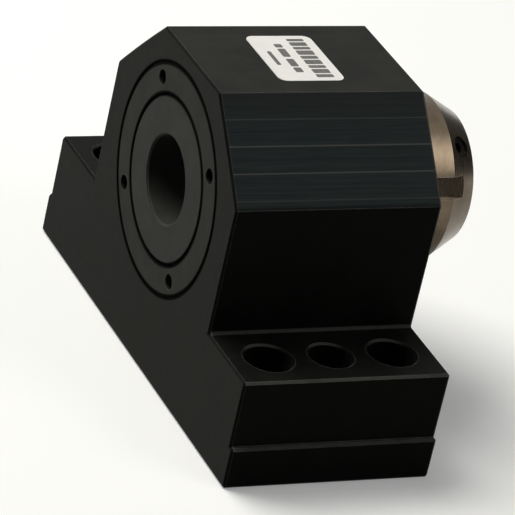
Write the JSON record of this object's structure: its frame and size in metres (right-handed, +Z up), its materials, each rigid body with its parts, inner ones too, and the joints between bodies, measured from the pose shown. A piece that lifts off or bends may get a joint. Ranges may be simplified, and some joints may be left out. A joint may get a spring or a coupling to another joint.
{
  "type": "ball screw end support",
  "caption": "Fixed-side pillow block for a ball screw: black steel block with angular contact bearings behind a threaded ring, seals, collars and a coned lock nut.",
  "frame": {"origin": "centre of the block's underside, halfway along its length", "axes": "+X along the shaft from the threaded ring to the lock nut, +Y across the block, +Z up"},
  "size_m": [0.069, 0.112, 0.0751],
  "materials": {
    "block_steel": "black oxide on milled steel, satin",
    "label_film": "white film with a plain grey print, semi-gloss",
    "ring_steel": "black oxide on turned steel, satin",
    "front_collar_steel": "black oxide on turned steel, satin",
    "collar_steel": "ground steel",
    "nut_steel": "brown-black oxide on turned steel, satin",
    "screw_steel": "black oxide",
    "pin_brass": "plain brass",
    "bearing_steel": "ground bearing steel",
    "ball_steel": "polished bearing steel",
    "cage_resin": "moulded resin",
    "seal_rubber": "moulded rubber",
    "spring_steel": "wound spring wire"
  },
  "bodies": {
    "block": {"housing": "block_steel", "label": "label_film", "retaining_ring": "ring_steel", "front_seal": "seal_rubber", "front_garter_spring": "spring_steel", "front_outer_ring": "bearing_steel", "rear_outer_ring": "bearing_steel", "rear_seal": "seal_rubber", "rear_garter_spring": "spring_steel"},
    "shaft_set": {"front_collar": "front_collar_steel", "front_inner_ring": "bearing_steel", "rear_inner_ring": "bearing_steel", "rear_collar": "collar_steel", "lock_nut": "nut_steel", "lock_screw_1": "screw_steel", "lock_screw_2": "screw_steel", "lock_screw_3": "screw_steel", "clamp_pin_1": "pin_brass", "clamp_pin_2": "pin_brass", "clamp_pin_3": "pin_brass"},
    "front_cage_set": {"front_cage": "cage_resin", "front_balls": "ball_steel"},
    "rear_cage_set": {"rear_cage": "cage_resin", "rear_balls": "ball_steel"}
  },
  "joints": [
    {"name": "shaft_spin", "type": "hinge", "parent": "block", "child": "shaft_set", "pos_m": [0, 0, 0.045], "axis": [1, 0, 0], "continuous": true},
    {"name": "front_cage_spin", "type": "hinge", "parent": "block", "child": "front_cage_set", "pos_m": [0, 0, 0.045], "axis": [1, 0, 0], "continuous": true},
    {"name": "rear_cage_spin", "type": "hinge", "parent": "block", "child": "rear_cage_set", "pos_m": [0, 0, 0.045], "axis": [1, 0, 0], "continuous": true}
  ],
  "couplings": [
    {"joint": "front_cage_spin", "follows": "shaft_spin", "ratio": 0.4092},
    {"joint": "rear_cage_spin", "follows": "shaft_spin", "ratio": 0.4092}
  ]
}
